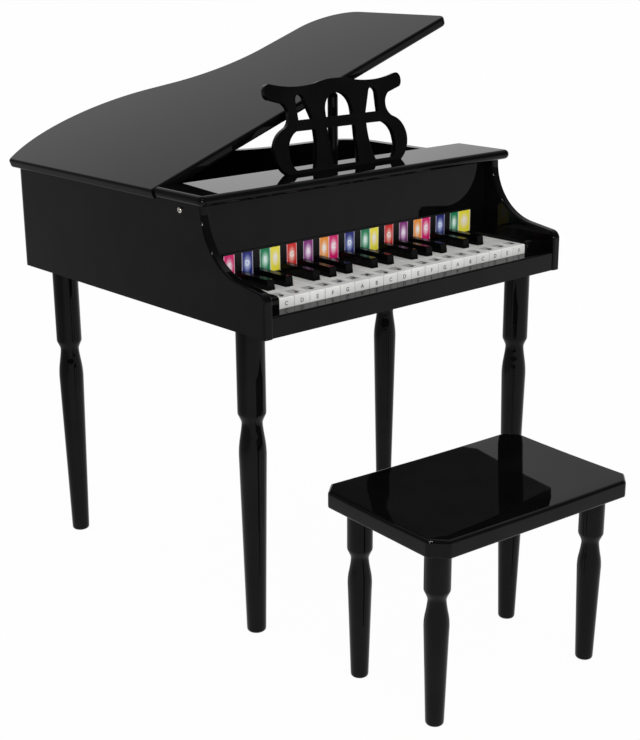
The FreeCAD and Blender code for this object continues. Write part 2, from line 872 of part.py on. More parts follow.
def bolt_hole(x, y):
    return bar(V(x, y, case_bottom - bolt_depth), V(x, y, floor_top), bolt_radius + bolt_clearance)


def make_legs():
    names = ("leg_front_left", "leg_front_right", "leg_back_left", "leg_back_right")
    radii = (leg_radius, leg_neck_radius, leg_swell_radius, leg_foot_radius)
    drops = (leg_shoulder, leg_neck, leg_swell)
    bolts = []
    for name, (x, y) in zip(names, leg_places()):
        leg = turned(x, y, leg_length, radii, drops, leg_toe)
        keep(name, leg.cut(bolt_hole(x, y)))
        shank = bar(V(x, y, case_bottom - bolt_depth + bolt_end_gap), V(x, y, floor_top), bolt_radius)
        head = bar(V(x, y, floor_top), V(x, y, floor_top + bolt_head), bolt_head_radius)
        bolts.append(shank.fuse(head).removeSplitter())
    keep("leg_bolts", *bolts)


# Bench

def turn_bench(solid):
    solid.rotate(V(seat_x, seat_y, 0), V(0, 0, 1), seat_turn)
    return solid


def bench_leg_places():
    out_x = seat_width / 2 - bench_leg_in_x
    out_y = seat_depth / 2 - bench_leg_in_y
    return [(seat_x + sx * out_x, seat_y + sy * out_y) for sx in (-1, 1) for sy in (-1, 1)]


def make_bench():
    half_x = seat_width / 2
    half_y = seat_depth / 2
    corners = []
    for sx, sy in ((-1, -1), (1, -1), (1, 1), (-1, 1)):
        near_x = V(seat_x + sx * (half_x - seat_clip), seat_y + sy * half_y, seat_bottom)
        near_y = V(seat_x + sx * half_x, seat_y + sy * (half_y - seat_clip), seat_bottom)
        corners += [near_y, near_x] if sx * sy > 0 else [near_x, near_y]
    seat = prism(polygon(corners), V(0, 0, seat_thickness))
    seat = round_edges(seat, seat_round, on_level(seat_top))
    sockets = []
    legs = []
    radii = (bench_leg_radius, bench_neck_radius, bench_swell_radius, bench_foot_radius)
    drops = (bench_shoulder, bench_neck, bench_swell)
    for x, y in bench_leg_places():
        leg = turned(x, y, seat_bottom, radii, drops, bench_toe, bench_tenon, bench_tenon_radius)
        legs.append(turn_bench(leg))
        mouth = V(x, y, seat_bottom)
        socket_end = V(x, y, seat_bottom + bench_tenon + bench_tenon_clearance)
        sockets.append(bar(mouth, socket_end, bench_tenon_radius + bench_tenon_clearance))
    keep("bench_seat", turn_bench(seat.cut(sockets)))
    keep("bench_legs", *legs)


make_case()
make_boards()
make_key_blocks()
make_lid()
make_hinges()
make_prop()
make_keys()
make_key_frame()
make_chimes()
make_stand()
make_legs()
make_bench()

# The origin is on the floor, in the middle of the space that the whole set takes up.
whole = Part.makeCompound(list(pieces.values())).optimalBoundingBox()
origin = V((whole.XMin + whole.XMax) / 2, (whole.YMin + whole.YMax) / 2, 0)
for name, shape in pieces.items():
    shape.translate(-origin)
    shape.exportStep("parts/%s.step" % name)

print("nodes", len(pieces))
print("box", [round(v, 2) for v in (whole.XLength, whole.YLength, whole.ZMin, whole.ZMax)])
print("origin", round(origin.x, 3), round(origin.y, 3))
print("lid hinge", V(0, lid_front + hinge_first, hinge_z) - origin)
print("prop pivot", V(prop_x, prop_y, prop_pivot_z) - origin)
print("key pivot", V(0, balance_y, balance_z) - origin, "dip", round(key_angle, 3))
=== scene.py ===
# %% [markdown]
# Toy grand piano with its bench. The construction comes ready made, as a frame of fixed parts at their
# real size, so this file gives the parts their finishes, adds what is printed on them, rounds what a
# hand would have rounded, and sets up the studio. Every object is in metres, in the frame's own axes:
# +X to the player's right, +Y from the bench towards the tail, +Z up from the floor.

# %% Load the frame
import json
import math

import bpy
from mathutils import Matrix, Vector


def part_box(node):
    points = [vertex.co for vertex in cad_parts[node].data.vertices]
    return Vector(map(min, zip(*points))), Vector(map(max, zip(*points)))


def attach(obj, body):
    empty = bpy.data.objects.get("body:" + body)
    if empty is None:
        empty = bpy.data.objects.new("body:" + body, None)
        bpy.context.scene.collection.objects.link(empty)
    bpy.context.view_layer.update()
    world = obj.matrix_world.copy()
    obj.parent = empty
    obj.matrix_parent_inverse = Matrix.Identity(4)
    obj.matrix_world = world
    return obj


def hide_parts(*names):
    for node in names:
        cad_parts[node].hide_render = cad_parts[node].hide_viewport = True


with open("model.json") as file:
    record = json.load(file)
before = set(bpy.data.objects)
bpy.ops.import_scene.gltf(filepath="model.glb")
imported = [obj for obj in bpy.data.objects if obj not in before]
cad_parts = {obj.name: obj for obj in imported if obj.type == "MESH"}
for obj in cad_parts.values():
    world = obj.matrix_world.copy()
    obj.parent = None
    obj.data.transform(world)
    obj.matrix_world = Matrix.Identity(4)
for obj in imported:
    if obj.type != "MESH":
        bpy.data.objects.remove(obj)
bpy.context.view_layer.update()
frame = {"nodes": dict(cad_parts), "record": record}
MM = 0.001

# %% [markdown]
# A few small helpers serve every finish. Colours are picked as sRGB hex values, as a paint chart gives
# them, but a shader counts in linear light, so one function converts them. Another adds a shader node
# with its values and links in one call. Pattern sizes are thought of in millimetres; a texture's scale
# counts repeats per metre, so `per_mm` turns one into the other.

# %% Colour and node helpers
def linear(hex_colour):
    """sRGB hex colour as linear RGBA."""
    channels = [int(hex_colour[i:i + 2], 16) / 255 for i in (1, 3, 5)]
    return [c / 12.92 if c <= 0.04045 else ((c + 0.055) / 1.055) ** 2.4 for c in channels] + [1.0]


def per_mm(size):
    """Texture scale of a pattern whose features are this many millimetres across."""
    return 1000 / size


def add_node(tree, kind, inputs, **settings):
    """New shader node: inputs are values, or (node, output) pairs to link."""
    node = tree.nodes.new(kind)
    for name, value in settings.items():
        setattr(node, name, value)
    for name, value in inputs.items():
        if isinstance(value, tuple) and isinstance(value[0], bpy.types.Node):
            tree.links.new(value[0].outputs[value[1]], node.inputs[name])
        else:
            node.inputs[name].default_value = value
    return node


def new_finish(name, constants):
    """Material whose constants sit on the shader's own sockets, with its tree, shader and coordinates."""
    material = bpy.data.materials.new(name)
    material.use_nodes = True
    tree = material.node_tree
    shader = tree.nodes["Principled BSDF"]
    for socket, value in constants.items():
        shader.inputs[socket].default_value = value
    place = add_node(tree, "ShaderNodeTexCoord", {})
    return material, tree, shader, place


print("helpers ready, #808080 is", round(linear("#808080")[0], 3), "in linear light")

# %% [markdown]
# Every finish is built the same way: a pattern of the right size in millimetres drives the colour, the
# gloss and the relief, each between two values that were matched to the photograph. One helper for each
# of the four keeps the finishes below short enough to read at a glance. A Mix node repeats the names of
# its sockets for every kind of value, so the ones for colours go by their numbers.

# %% Pattern, tint, gloss and relief
noise_span = (0.3, 0.7)
mix_factor, mix_first, mix_second = 0, 6, 7
mix_result = 2


def speckle(tree, place, size, detail=3.0, squeeze=(1.0, 1.0, 1.0)):
    """Noise of this feature size, from 0 to 1; it runs long on an axis that is squeezed."""
    coords = add_node(tree, "ShaderNodeMapping", {"Vector": (place, "Object"), "Scale": squeeze})
    pattern = {"Vector": (coords, "Vector"), "Scale": per_mm(size), "Detail": detail}
    noise = add_node(tree, "ShaderNodeTexNoise", pattern)
    low, high = noise_span
    spread = {"Value": (noise, 0), "From Min": low, "From Max": high}
    return add_node(tree, "ShaderNodeMapRange", spread), "Result"


def tint(tree, shader, factor, first, second):
    """Base colour that moves between two paints."""
    paints = {mix_factor: factor, mix_first: linear(first), mix_second: linear(second)}
    mix = add_node(tree, "ShaderNodeMix", paints, data_type="RGBA")
    tree.links.new(mix.outputs[mix_result], shader.inputs["Base Color"])


def polish(tree, shader, factor, low, high):
    """Roughness that moves between two values."""
    span = add_node(tree, "ShaderNodeMapRange", {"Value": factor, "To Min": low, "To Max": high})
    tree.links.new(span.outputs["Result"], shader.inputs["Roughness"])


def relief(tree, shader, height, strength, depth):
    """Bump of this depth in millimetres."""
    bump = add_node(tree, "ShaderNodeBump", {"Height": height, "Strength": strength, "Distance": depth * MM})
    tree.links.new(bump.outputs["Normal"], shader.inputs["Normal"])


print("pattern helpers ready")

# %% [markdown]
# Black piano lacquer is polyester sprayed over fibreboard and polished. It is a clear gloss over black,
# so nearly all that the eye gets is reflection: faint where it is looked at squarely, strong at a
# glancing angle. Spraying leaves a very shallow orange peel a couple of millimetres across, and handling
# leaves a slow change of gloss. A textbook index of 1.5 mirrors a white studio too strongly here, so it
# is lowered until the upright sides stay as dark as the real ones.

# %% Black lacquer
peel_size = 2.4
haze_size = 45.0
black_lacquer, tree, shader, place = new_finish("black_piano_lacquer", {"IOR": 1.2})
haze = speckle(tree, place, haze_size)
peel = speckle(tree, place, peel_size, detail=1.0)
tint(tree, shader, haze, "#060607", "#0c0c0d")
polish(tree, shader, haze, low=0.01, high=0.03)
relief(tree, shader, peel, strength=0.03, depth=0.03)
print("made", black_lacquer.name)

# %% [markdown]
# The white keys are moulded ABS with a satin skin: an off-white that drifts a little from key to key, a
# broad soft highlight, and a fine grain from the mould, drawn coarser than it is so that it shows. The
# black keys are the same moulding in black, polished, with rubbing marks that run along the key. Their
# index is lowered for the same reason as the lacquer's.

# %% Key plastics
key_drift = 30.0
key_grain = 0.8
white_plastic, tree, shader, place = new_finish("white_satin_abs", {"IOR": 1.46})
drift = speckle(tree, place, key_drift, detail=4.0)
grain = speckle(tree, place, key_grain, detail=2.0)
tint(tree, shader, drift, "#e0e0dd", "#f0f0ee")
polish(tree, shader, drift, low=0.3, high=0.42)
relief(tree, shader, grain, strength=0.08, depth=0.05)

rub_size = 1.5
along_key = (1.0, 0.07, 1.0)
black_plastic, tree, shader, place = new_finish("black_gloss_abs", {"IOR": 1.13})
rub = speckle(tree, place, rub_size, squeeze=along_key)
tint(tree, shader, rub, "#040404", "#0a0a0b")
polish(tree, shader, rub, low=0.08, high=0.18)
print("made", white_plastic.name, "and", black_plastic.name)

# %% [markdown]
# The plainer finishes are inside the case or on its fittings. Each starts from what the stuff is: bare
# pine with a long grain, cast iron with a sandy skin, drawn steel with lines along the wire, nickel plate
# with faint scratches, thin black enamel on the hinges, and pressed red felt with a nap that catches light.
# Die lines, scratches and fibres are finer than this in life, and are drawn as coarse as they need to show.

# %% Wood and metals inside
grain_width = 3.0
along_board = (0.05, 1.0, 1.0)
bare_board, tree, shader, place = new_finish("bare_pine_board", {"IOR": 1.45, "Roughness": 0.7})
rings = speckle(tree, place, grain_width, detail=5.0, squeeze=along_board)
tint(tree, shader, rings, "#8f673d", "#c79d68")
relief(tree, shader, rings, strength=0.25, depth=0.15)

sand_size = 1.6
cast_iron, tree, shader, place = new_finish("sand_cast_iron", {"Metallic": 0.6})
sand = speckle(tree, place, sand_size, detail=4.0)
tint(tree, shader, sand, "#3b3c3e", "#5c5d60")
polish(tree, shader, sand, low=0.45, high=0.65)
relief(tree, shader, sand, strength=0.35, depth=0.15)

die_line = 0.6
along_rod = (1.0, 0.02, 1.0)
drawn_steel, tree, shader, place = new_finish("drawn_steel_rod", {"Metallic": 1.0})
lines = speckle(tree, place, die_line, detail=2.0, squeeze=along_rod)
tint(tree, shader, lines, "#a6a8ab", "#d2d3d4")
polish(tree, shader, lines, low=0.2, high=0.38)
print("made", bare_board.name, cast_iron.name, drawn_steel.name)

# %% Nickel plate, hinge enamel and felt
scratch_size = 0.7
nickel, tree, shader, place = new_finish("nickel_plate", {"Metallic": 1.0})
scratch = speckle(tree, place, scratch_size, detail=4.0)
tint(tree, shader, scratch, "#c2bdb2", "#e2dfd8")
polish(tree, shader, scratch, low=0.1, high=0.24)

enamel_size = 1.2
hinge_enamel, tree, shader, place = new_finish("black_hinge_enamel", {"IOR": 1.4})
flow = speckle(tree, place, enamel_size, detail=2.0)
tint(tree, shader, flow, "#0a0a0b", "#161617")
polish(tree, shader, flow, low=0.25, high=0.4)

fibre_size = 0.9
red_felt, tree, shader, place = new_finish("pressed_red_felt", {"Roughness": 0.95, "Sheen Weight": 0.4})
fibre = speckle(tree, place, fibre_size, detail=6.0)
tint(tree, shader, fibre, "#5a0f14", "#9a2a2c")
relief(tree, shader, fibre, strength=0.6, depth=0.3)
print("made", nickel.name, hinge_enamel.name, red_felt.name)

# %% [markdown]
# The printed strip over the keys is black card. Each white key has a patch of its own ink: strong at the
# rim, paler towards a glow in the middle, with a thin light line down both sides. A patch has its own UV
# map from 0 to 1, so the glow and the lines are drawn in that. The letters and the marks on the keys are
# plain inks that lie a little unevenly. The card's own fibre is drawn coarser than it is, to show at all.

# %% Inks of the patches
note_inks = {
    "c": ("#d8166e", "#ffe0ee"),
    "d": ("#1c2478", "#bccaf6"),
    "e": ("#0a7e52", "#ccf0e0"),
    "f": ("#f2e640", "#f6ead8"),
    "g": ("#d4201c", "#fac8ba"),
    "a": ("#84287c", "#f8dcf8"),
    "b": ("#ee9232", "#fee8d2")}
glow_middle = (0.5, 0.53, 0.0)
glow_core = 0.05
glow_reach = 0.44
line_start = 0.42
line_full = 0.44
line_strength = 0.45
line_colour = "#f3eef4"


def patch_ink(note, strong, pale):
    """Ink of one patch: strong colour, pale glow in the middle, light side lines."""
    ink, tree, shader, place = new_finish("card_ink_" + note, {"IOR": 1.45, "Roughness": 0.3})
    off = add_node(tree, "ShaderNodeVectorMath", {0: (place, "UV"), 1: glow_middle}, operation="SUBTRACT")
    away = add_node(tree, "ShaderNodeVectorMath", {0: (off, "Vector")}, operation="LENGTH")
    fade = {"Value": (away, "Value"), "From Min": glow_core, "From Max": glow_reach,
            "To Min": 1.0, "To Max": 0.0}
    glow = add_node(tree, "ShaderNodeMapRange", fade, interpolation_type="SMOOTHSTEP")
    paints = {mix_factor: (glow, "Result"), mix_first: linear(strong), mix_second: linear(pale)}
    body = add_node(tree, "ShaderNodeMix", paints, data_type="RGBA")
    across = add_node(tree, "ShaderNodeSeparateXYZ", {"Vector": (off, "Vector")})
    side = add_node(tree, "ShaderNodeMath", {0: (across, "X")}, operation="ABSOLUTE")
    rise = {"Value": (side, "Value"), "From Min": line_start, "From Max": line_full, "To Max": line_strength}
    line = add_node(tree, "ShaderNodeMapRange", rise)
    paints = {mix_factor: (line, "Result"), mix_first: (body, mix_result), mix_second: linear(line_colour)}
    edged = add_node(tree, "ShaderNodeMix", paints, data_type="RGBA")
    tree.links.new(edged.outputs[mix_result], shader.inputs["Base Color"])
    return ink


patch_inks = {note: patch_ink(note, strong, pale) for note, (strong, pale) in note_inks.items()}
print("made", len(patch_inks), "patch inks")

# %% Plain inks and the card
ink_size = 1.0
paper_size = 0.6


def plain_ink(name, thin, thick):
    """Printing ink that lies a little unevenly."""
    ink, tree, shader, place = new_finish(name, {"IOR": 1.45, "Roughness": 0.4})
    tint(tree, shader, speckle(tree, place, ink_size, detail=2.0), thin, thick)
    return ink


letter_white = plain_ink("letter_white_ink", "#f2f2f6", "#ffffff")
note_black = plain_ink("note_black_ink", "#2e2e31", "#1a1a1c")
mark_grey = plain_ink("mark_grey_ink", "#5a5a5f", "#45454a")

black_card, tree, shader, place = new_finish("black_card", {"IOR": 1.3})
paper = speckle(tree, place, paper_size)
tint(tree, shader, paper, "#0b0b0d", "#141416")
polish(tree, shader, paper, low=0.3, high=0.45)
print("made", letter_white.name, note_black.name, mark_grey.name, black_card.name)

# %% [markdown]
# The frame's parts keep their shapes. The record already sorts them into material slots, so one table
# from slot to finish dresses them all, and a part added later would take its finish by itself.

# %% Dress the frame's parts
finish_of_slot = {
    "black_lacquer": black_lacquer,
    "bare_board": bare_board,
    "note_card": black_card,
    "felt": red_felt,
    "steel": drawn_steel,
    "nickel": nickel,
    "black_metal": hinge_enamel,
    "cast_bar": cast_iron,
    "white_key": white_plastic,
    "black_key": black_plastic}
parts = frame["record"]["subparts"]


def paint(piece, finish):
    """Give a piece this finish alone."""
    piece.data.materials.clear()
    piece.data.materials.append(finish)
    return piece


for part in parts:
    paint(frame["nodes"][part["node"]], finish_of_slot[part["material_slot"]])
print("dressed", len(parts), "parts in", len(finish_of_slot), "finishes")

# %% [markdown]
# New pieces are modelled as by hand, from a primitive that edit operators shape. These helpers do what
# a hand does with the mouse: start from nothing selected, put a block at its place, and pick faces, edges
# or vertices by where they are. A finished piece sits at the origin with its place in its mesh.

# %% Choosing and placing
near = 0.01 * MM


def choose(*pieces):
    """Object mode with only these pieces selected, the first one active."""
    if bpy.context.mode != "OBJECT":
        bpy.ops.object.mode_set(mode="OBJECT")
    bpy.ops.object.select_all(action="DESELECT")
    for piece in pieces:
        piece.select_set(True)
    if pieces:
        bpy.context.view_layer.objects.active = pieces[0]


def settle(piece, name):
    """Name a piece and move its place into its mesh."""
    choose(piece)
    piece.name = name
    piece.data.name = name
    bpy.ops.object.transform_apply(location=True, rotation=True, scale=True)
    return piece


def block(name, low, high):
    """Block between two corners."""
    choose()
    low, high = Vector(low), Vector(high)
    bpy.ops.mesh.primitive_cube_add(size=1, location=(low + high) / 2)
    bpy.context.object.scale = high - low
    return settle(bpy.context.object, name)


def pick(piece, kind, chosen):
    """In edit mode, select only the faces, edges or vertices whose points pass the test."""
    choose(piece)
    bpy.ops.object.mode_set(mode="EDIT")
    bpy.ops.mesh.select_mode(type=kind)
    bpy.ops.mesh.select_all(action="DESELECT")
    bpy.ops.object.mode_set(mode="OBJECT")
    mesh = piece.data
    for element in {"VERT": mesh.vertices, "EDGE": mesh.edges, "FACE": mesh.polygons}[kind]:
        corners = [element.index] if kind == "VERT" else element.vertices
        element.select = bool(chosen([mesh.vertices[i].co for i in corners]))
    bpy.ops.object.mode_set(mode="EDIT")


def join(pieces, name):
    """Join pieces into the first, each with its own finish."""
    choose(*pieces)
    bpy.ops.object.join()
    return settle(pieces[0], name)


print("helpers for choosing and placing ready")

# %% [markdown]
# Edges are rounded in two ways: those that are picked in edit mode get a bevel of their own, and a bevel
# modifier eases all that are sharper than some angle. Smooth shading would bend the light on a flat face
# towards its rounded edge; weighted normals, which follow the largest faces, keep it flat.

# %% Shaping and finishing
flat_weight = 100


def apply_modifier(piece, kind, **settings):
    """Add a modifier with its settings and apply it."""
    choose(piece)
    modifier = piece.modifiers.new(kind.title(), kind)
    for name, value in settings.items():
        setattr(modifier, name, value)
    bpy.ops.object.modifier_apply(modifier=modifier.name)


def round_picked(radius, steps):
    """Bevel the edges that are picked in edit mode."""
    bpy.ops.mesh.bevel(offset=radius, offset_type="OFFSET", segments=steps, affect="EDGES")


def smooth(piece, sharp_over):
    """Smooth shading that keeps edges sharper than this many degrees."""
    choose(piece)
    bpy.ops.object.shade_smooth_by_angle(angle=math.radians(sharp_over))


def ease(piece, width, steps, sharp_over):
    """Break every edge sharper than this many degrees."""
    limit = math.radians(sharp_over)
    apply_modifier(piece, "BEVEL", width=width, segments=steps, limit_method="ANGLE", angle_limit=limit)
    smooth(piece, sharp_over)


def keep_flat(piece):
    """Shading that stays flat up to a rounded edge."""
    apply_modifier(piece, "WEIGHTED_NORMAL", weight=flat_weight, keep_sharp=True)


def face_outwards():
    """In edit mode, turn all faces of the piece outwards."""
    bpy.ops.mesh.select_all(action="SELECT")
    bpy.ops.mesh.normals_make_consistent(inside=False)


def fit(piece, body):
    """Say which body a finished piece moves with."""
    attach(piece, body)


print("helpers for shaping and finishing ready")

# %% [markdown]
# The music stand is a lyre cut from a board with a fret saw, and its edges are broken with sandpaper
# before it is sprayed, which gives them a thin bright line. The cut-outs are already right in the frame,
# so a copy of that part is taken, and its loose triangles are merged and dissolved into flat faces. The
# undersides of its two horns are drawn down a little with proportional editing, because the real horns
# are stouter, and a small bevel goes round every edge.

# %% Music stand
stand_ease = 1.1 * MM
stand_ease_steps = 3
stand_lean = math.radians(12)
horn_drop = 3.0 * MM
horn_spread = 13.0 * MM
horn_height = 13.0 * MM
horn_root = 0.2
horn_tip = 0.88
merge_distance = 0.001 * MM
flat_angle = math.radians(0.5)
stand_low, stand_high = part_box("music_stand")
stand_middle = (stand_low + stand_high) / 2
horn_start = stand_middle.z + horn_root * (stand_high.z - stand_low.z)
horn_end = stand_high.z - horn_height


def merged_copy(node, name):
    """Copy of a frame part with its doubles merged and its flat faces whole."""
    piece = bpy.data.objects.new(name, frame["nodes"][node].data.copy())
    bpy.context.scene.collection.objects.link(piece)
    choose(piece)
    bpy.ops.mesh.customdata_custom_splitnormals_clear()
    bpy.ops.object.mode_set(mode="EDIT")
    bpy.ops.mesh.select_all(action="SELECT")
    bpy.ops.mesh.remove_doubles(threshold=merge_distance)
    bpy.ops.mesh.dissolve_limited(angle_limit=flat_angle)
    bpy.ops.mesh.normals_make_consistent(inside=False)
    choose(piece)
    return piece


def under_horn(points):
    """True for a point below the tip of either horn."""
    outer = abs(points[0].x - stand_middle.x) > horn_tip * (stand_high.x - stand_middle.x)
    return outer and horn_start < points[0].z < horn_end


stand = merged_copy("music_stand", "fretwork_stand")
pick(stand, "VERT", under_horn)
down = Vector((0, -math.sin(stand_lean), -math.cos(stand_lean)))
bpy.ops.transform.translate(value=down * horn_drop, use_proportional_edit=True,
                            proportional_edit_falloff="SMOOTH", proportional_size=horn_spread)
ease(stand, stand_ease, stand_ease_steps, sharp_over=40)
paint(stand, black_lacquer)
fit(stand, "case")
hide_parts("music_stand")
print("made", stand.name, len(stand.data.polygons), "faces")

# %% [markdown]
# The bench seat is a thick board with clipped corners. A board is never quite flat, and a mirror finish
# shows it, so the seat starts as a grid whose middle is drawn down by a couple of millimetres. The grid is
# extruded to a flat underside, its four upright edges are bevelled flat to clip the corners, the rim of
# the top is rolled over, and the remaining edges are eased. It is turned a little, as the bench stands.

# %% Shape of the bench seat
seat_width = 286.0 * MM
seat_depth = 190.0 * MM
seat_dish = 2.3 * MM
dish_reach = 0.72
grid_columns = 14
grid_rows = 10
grid_middle = 0.01
seat_low, seat_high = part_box("bench_seat")
seat_half = Vector((seat_width, seat_depth, seat_high.z - seat_low.z)) / 2
choose()
bpy.ops.mesh.primitive_grid_add(x_subdivisions=grid_columns, y_subdivisions=grid_rows, size=1)
seat = bpy.context.object
pick(seat, "VERT", lambda points: points[0].length < grid_middle)
bpy.ops.transform.translate(value=(0, 0, -seat_dish), use_proportional_edit=True,
                            proportional_edit_falloff="INVERSE_SQUARE", proportional_size=dish_reach)
choose(seat)
seat.scale = (seat_width, seat_depth, 1)
seat.location.z = seat_half.z
settle(seat, "seat_board")
pick(seat, "FACE", lambda points: True)
bpy.ops.mesh.extrude_region_move(TRANSFORM_OT_translate={"value": (0, 0, -2 * seat_half.z)})
bpy.ops.transform.resize(value=(1, 1, 0), center_override=(0, 0, -seat_half.z))
face_outwards()
choose(seat)
print("seat board of", [round(v / MM, 1) for v in seat.dimensions], "mm before its edges are rounded")

# %% Edges of the bench seat
seat_turn = -4.5
corner_clip = 16.0 * MM
rim_roll = 4.0 * MM
rim_steps = 5
edge_ease = 2.4 * MM
edge_ease_steps = 4
pick(seat, "EDGE", lambda points: all(p.xy.length > seat_half.xy.length - near for p in points))
round_picked(corner_clip, 1)
pick(seat, "FACE", lambda points: min(p.z for p in points) > 0)
bpy.ops.mesh.region_to_loop()
round_picked(rim_roll, rim_steps)
ease(seat, edge_ease, edge_ease_steps, sharp_over=35)
keep_flat(seat)
seat.location = (seat_low + seat_high) / 2
seat.rotation_euler.z = math.radians(seat_turn)
settle(seat, "seat_board")
paint(seat, black_lacquer)
fit(seat, "bench")
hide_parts("bench_seat")
print("made", seat.name, [round(v / MM, 1) for v in seat.dimensions], "mm")

# %% [markdown]
# The legs are turned on a lathe from a pattern that gives the radius at each distance from the top: a plain
# shoulder, a drawn-in neck, a swell and a long taper to a rounded toe. A leg starts as a disc at its top,
# which is drawn down and resized ring by ring. The bench has four shorter legs to a pattern of their own.
# The patterns are in millimetres.

# %% Turned legs of the piano
leg_sides = 64
piano_turning = (
    (93.0, 16.4), (97.0, 16.4), (98.5, 16.2), (100.0, 15.6), (103.0, 14.2), (106.0, 12.9), (108.0, 12.25),
    (110.0, 12.05), (113.0, 12.2), (118.0, 12.8), (124.0, 13.7), (131.0, 14.8), (138.0, 15.6), (146.0, 16.0),
    (157.0, 15.8), (361.0, 11.5), (365.0, 11.4), (366.7, 11.1), (368.0, 10.0), (369.0, 8.0))


def turned_leg(name, top, turning):
    """Leg drawn down from a disc at its top, ring by ring."""
    drop, radius = 0.0, turning[0][1]
    choose()
    bpy.ops.mesh.primitive_circle_add(vertices=leg_sides, radius=radius * MM, fill_type="NGON")
    leg = bpy.context.object
    pick(leg, "FACE", lambda points: True)
    for next_drop, next_radius in turning:
        step = (0, 0, (drop - next_drop) * MM)
        bpy.ops.mesh.extrude_region_move(TRANSFORM_OT_translate={"value": step})
        bpy.ops.transform.resize(value=(next_radius / radius, next_radius / radius, 1))
        drop, radius = next_drop, next_radius
    face_outwards()
    choose(leg)
    leg.location = top
    smooth(leg, sharp_over=35)
    return paint(settle(leg, name), black_lacquer)


for node in ("leg_front_left", "leg_front_right", "leg_back_left", "leg_back_right"):
    low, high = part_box(node)
    top = Vector(((low.x + high.x) / 2, (low.y + high.y) / 2, high.z))
    leg = turned_leg("turned_" + node, top, piano_turning)
    fit(leg, "case")
    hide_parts(node)
    print("made", leg.name, [round(v / MM, 1) for v in leg.dimensions], "mm")

# %% Turned legs of the bench
bench_turning = (
    (44.0, 14.0), (47.5, 14.0), (48.8, 13.8), (50.2, 13.2), (52.6, 12.1), (55.0, 10.95), (57.0, 10.2),
    (59.0, 9.8), (61.5, 9.85), (66.0, 10.4), (71.0, 11.2), (77.0, 12.4), (82.0, 13.1), (88.0, 13.4),
    (97.0, 13.1), (195.5, 10.0), (198.5, 9.9), (199.8, 9.6), (200.8, 8.9), (201.5, 7.3))
bench_leg_in = Vector((30.25, 33.0)) * MM
bench_reach = seat_half.xy - bench_leg_in
bench_spin = Matrix.Rotation(math.radians(seat_turn), 4, "Z")
bench_set = []
for side in (-1, 1):
    for end in (-1, 1):
        corner = Vector((side * bench_reach.x, end * bench_reach.y, -seat_half.z))
        top = (seat_low + seat_high) / 2 + bench_spin @ corner
        bench_set.append(turned_leg("bench_leg", top, bench_turning))
bench_legs = join(bench_set, "turned_bench_legs")
fit(bench_legs, "bench")
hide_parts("bench_legs")
print("made", bench_legs.name, [round(v / MM, 1) for v in bench_legs.dimensions], "mm")

# %% [markdown]
# The top board has a full round nose on its front and its ends, and a square back where the lid meets it.
# It starts as a block. The two upright front edges are rounded first, and then every edge above and below
# except the two at the back, by almost half the board's thickness.

# %% Top board
board_corner = 8.0 * MM
nose_share = 0.49
nose_steps = 8
board_low, board_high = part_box("top_board")
nose_radius = nose_share * (board_high.z - board_low.z)


def upright_front(points):
    """True for an upright edge at the board's front."""
    upright = abs(points[0].z - points[-1].z) > nose_radius
    return upright and max(p.y for p in points) < board_low.y + near


def open_rim(points):
    """True for a level edge above or below that isn't at the back."""
    level = abs(points[0].z - points[-1].z) < near
    return level and min(p.y for p in points) < board_high.y - near


board = block("bullnose_board", board_low, board_high)
pick(board, "EDGE", upright_front)
round_picked(board_corner, nose_steps)
pick(board, "EDGE", open_rim)
round_picked(nose_radius, nose_steps)
smooth(board, sharp_over=40)
keep_flat(board)
paint(board, black_lacquer)
fit(board, "case")
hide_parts("top_board")
print("made", board.name, len(board.data.polygons), "faces")

# %% [markdown]
# A pan-head screw holds the batten on each side of the case. The head starts as a disc whose outer rim is
# rolled over; the shank is drawn out of its back, and a cross is cut into it for the driver.

# %% Side screws
head_sides = 48
head_radius = 3.6 * MM
head_height = 2.2 * MM
head_roll = 1.3 * MM
head_roll_steps = 5
shank_radius = 2.0 * MM
shank_length = 32.0 * MM
cross_reach = Vector((4.2, 0.9, 2.6)) * MM / 2


def pan_screw(name, face, outward):
    """Screw along X, whose head stands on a face."""
    choose()
    bpy.ops.mesh.primitive_cylinder_add(vertices=head_sides, radius=head_radius, depth=head_height)
    bpy.context.object.location.z = head_height / 2
    screw = settle(bpy.context.object, name)
    pick(screw, "EDGE", lambda points: min(p.z for p in points) > head_height - near)
    round_picked(head_roll, head_roll_steps)
    pick(screw, "FACE", lambda points: max(p.z for p in points) < near)
    bpy.ops.mesh.inset(thickness=head_radius - shank_radius)
    bpy.ops.mesh.extrude_region_move(TRANSFORM_OT_translate={"value": (0, 0, -shank_length)})
    top = Vector((0, 0, head_height))
    for arm in (cross_reach, cross_reach.yxz):
        cutter = block("cross_cutter", top - arm, top + arm)
        apply_modifier(screw, "BOOLEAN", operation="DIFFERENCE", object=cutter, solver="EXACT")
        bpy.data.objects.remove(cutter)
    smooth(screw, sharp_over=30)
    screw.matrix_world = Matrix.Translation(face) @ Matrix.Rotation(math.radians(90) * outward, 4, "Y")
    return settle(screw, name)


screw_low, screw_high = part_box("case_screws")
screw_middle = (screw_low + screw_high) / 2
screw_pair = []
for end, outward in ((screw_low.x, -1), (screw_high.x, 1)):
    face = Vector((end - outward * head_height, screw_middle.y, screw_middle.z))
    screw_pair.append(pan_screw("screw", face, outward))
screws = join(screw_pair, "side_screws")
paint(screws, nickel)
fit(screws, "case")
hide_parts("case_screws")
print("made", screws.name, len(screws.data.polygons), "faces")

# %% [markdown]
# The strip's patches are printed between the places of the black keys, one for each white key, so that
# a child can find the notes; where two white keys meet with no black one between them, their patches
# touch. A patch is a plane that Solidify gives a film's thickness, and it keeps the plane's UV map. The
# note's letter is a text object that is turned into a mesh and laid on it.

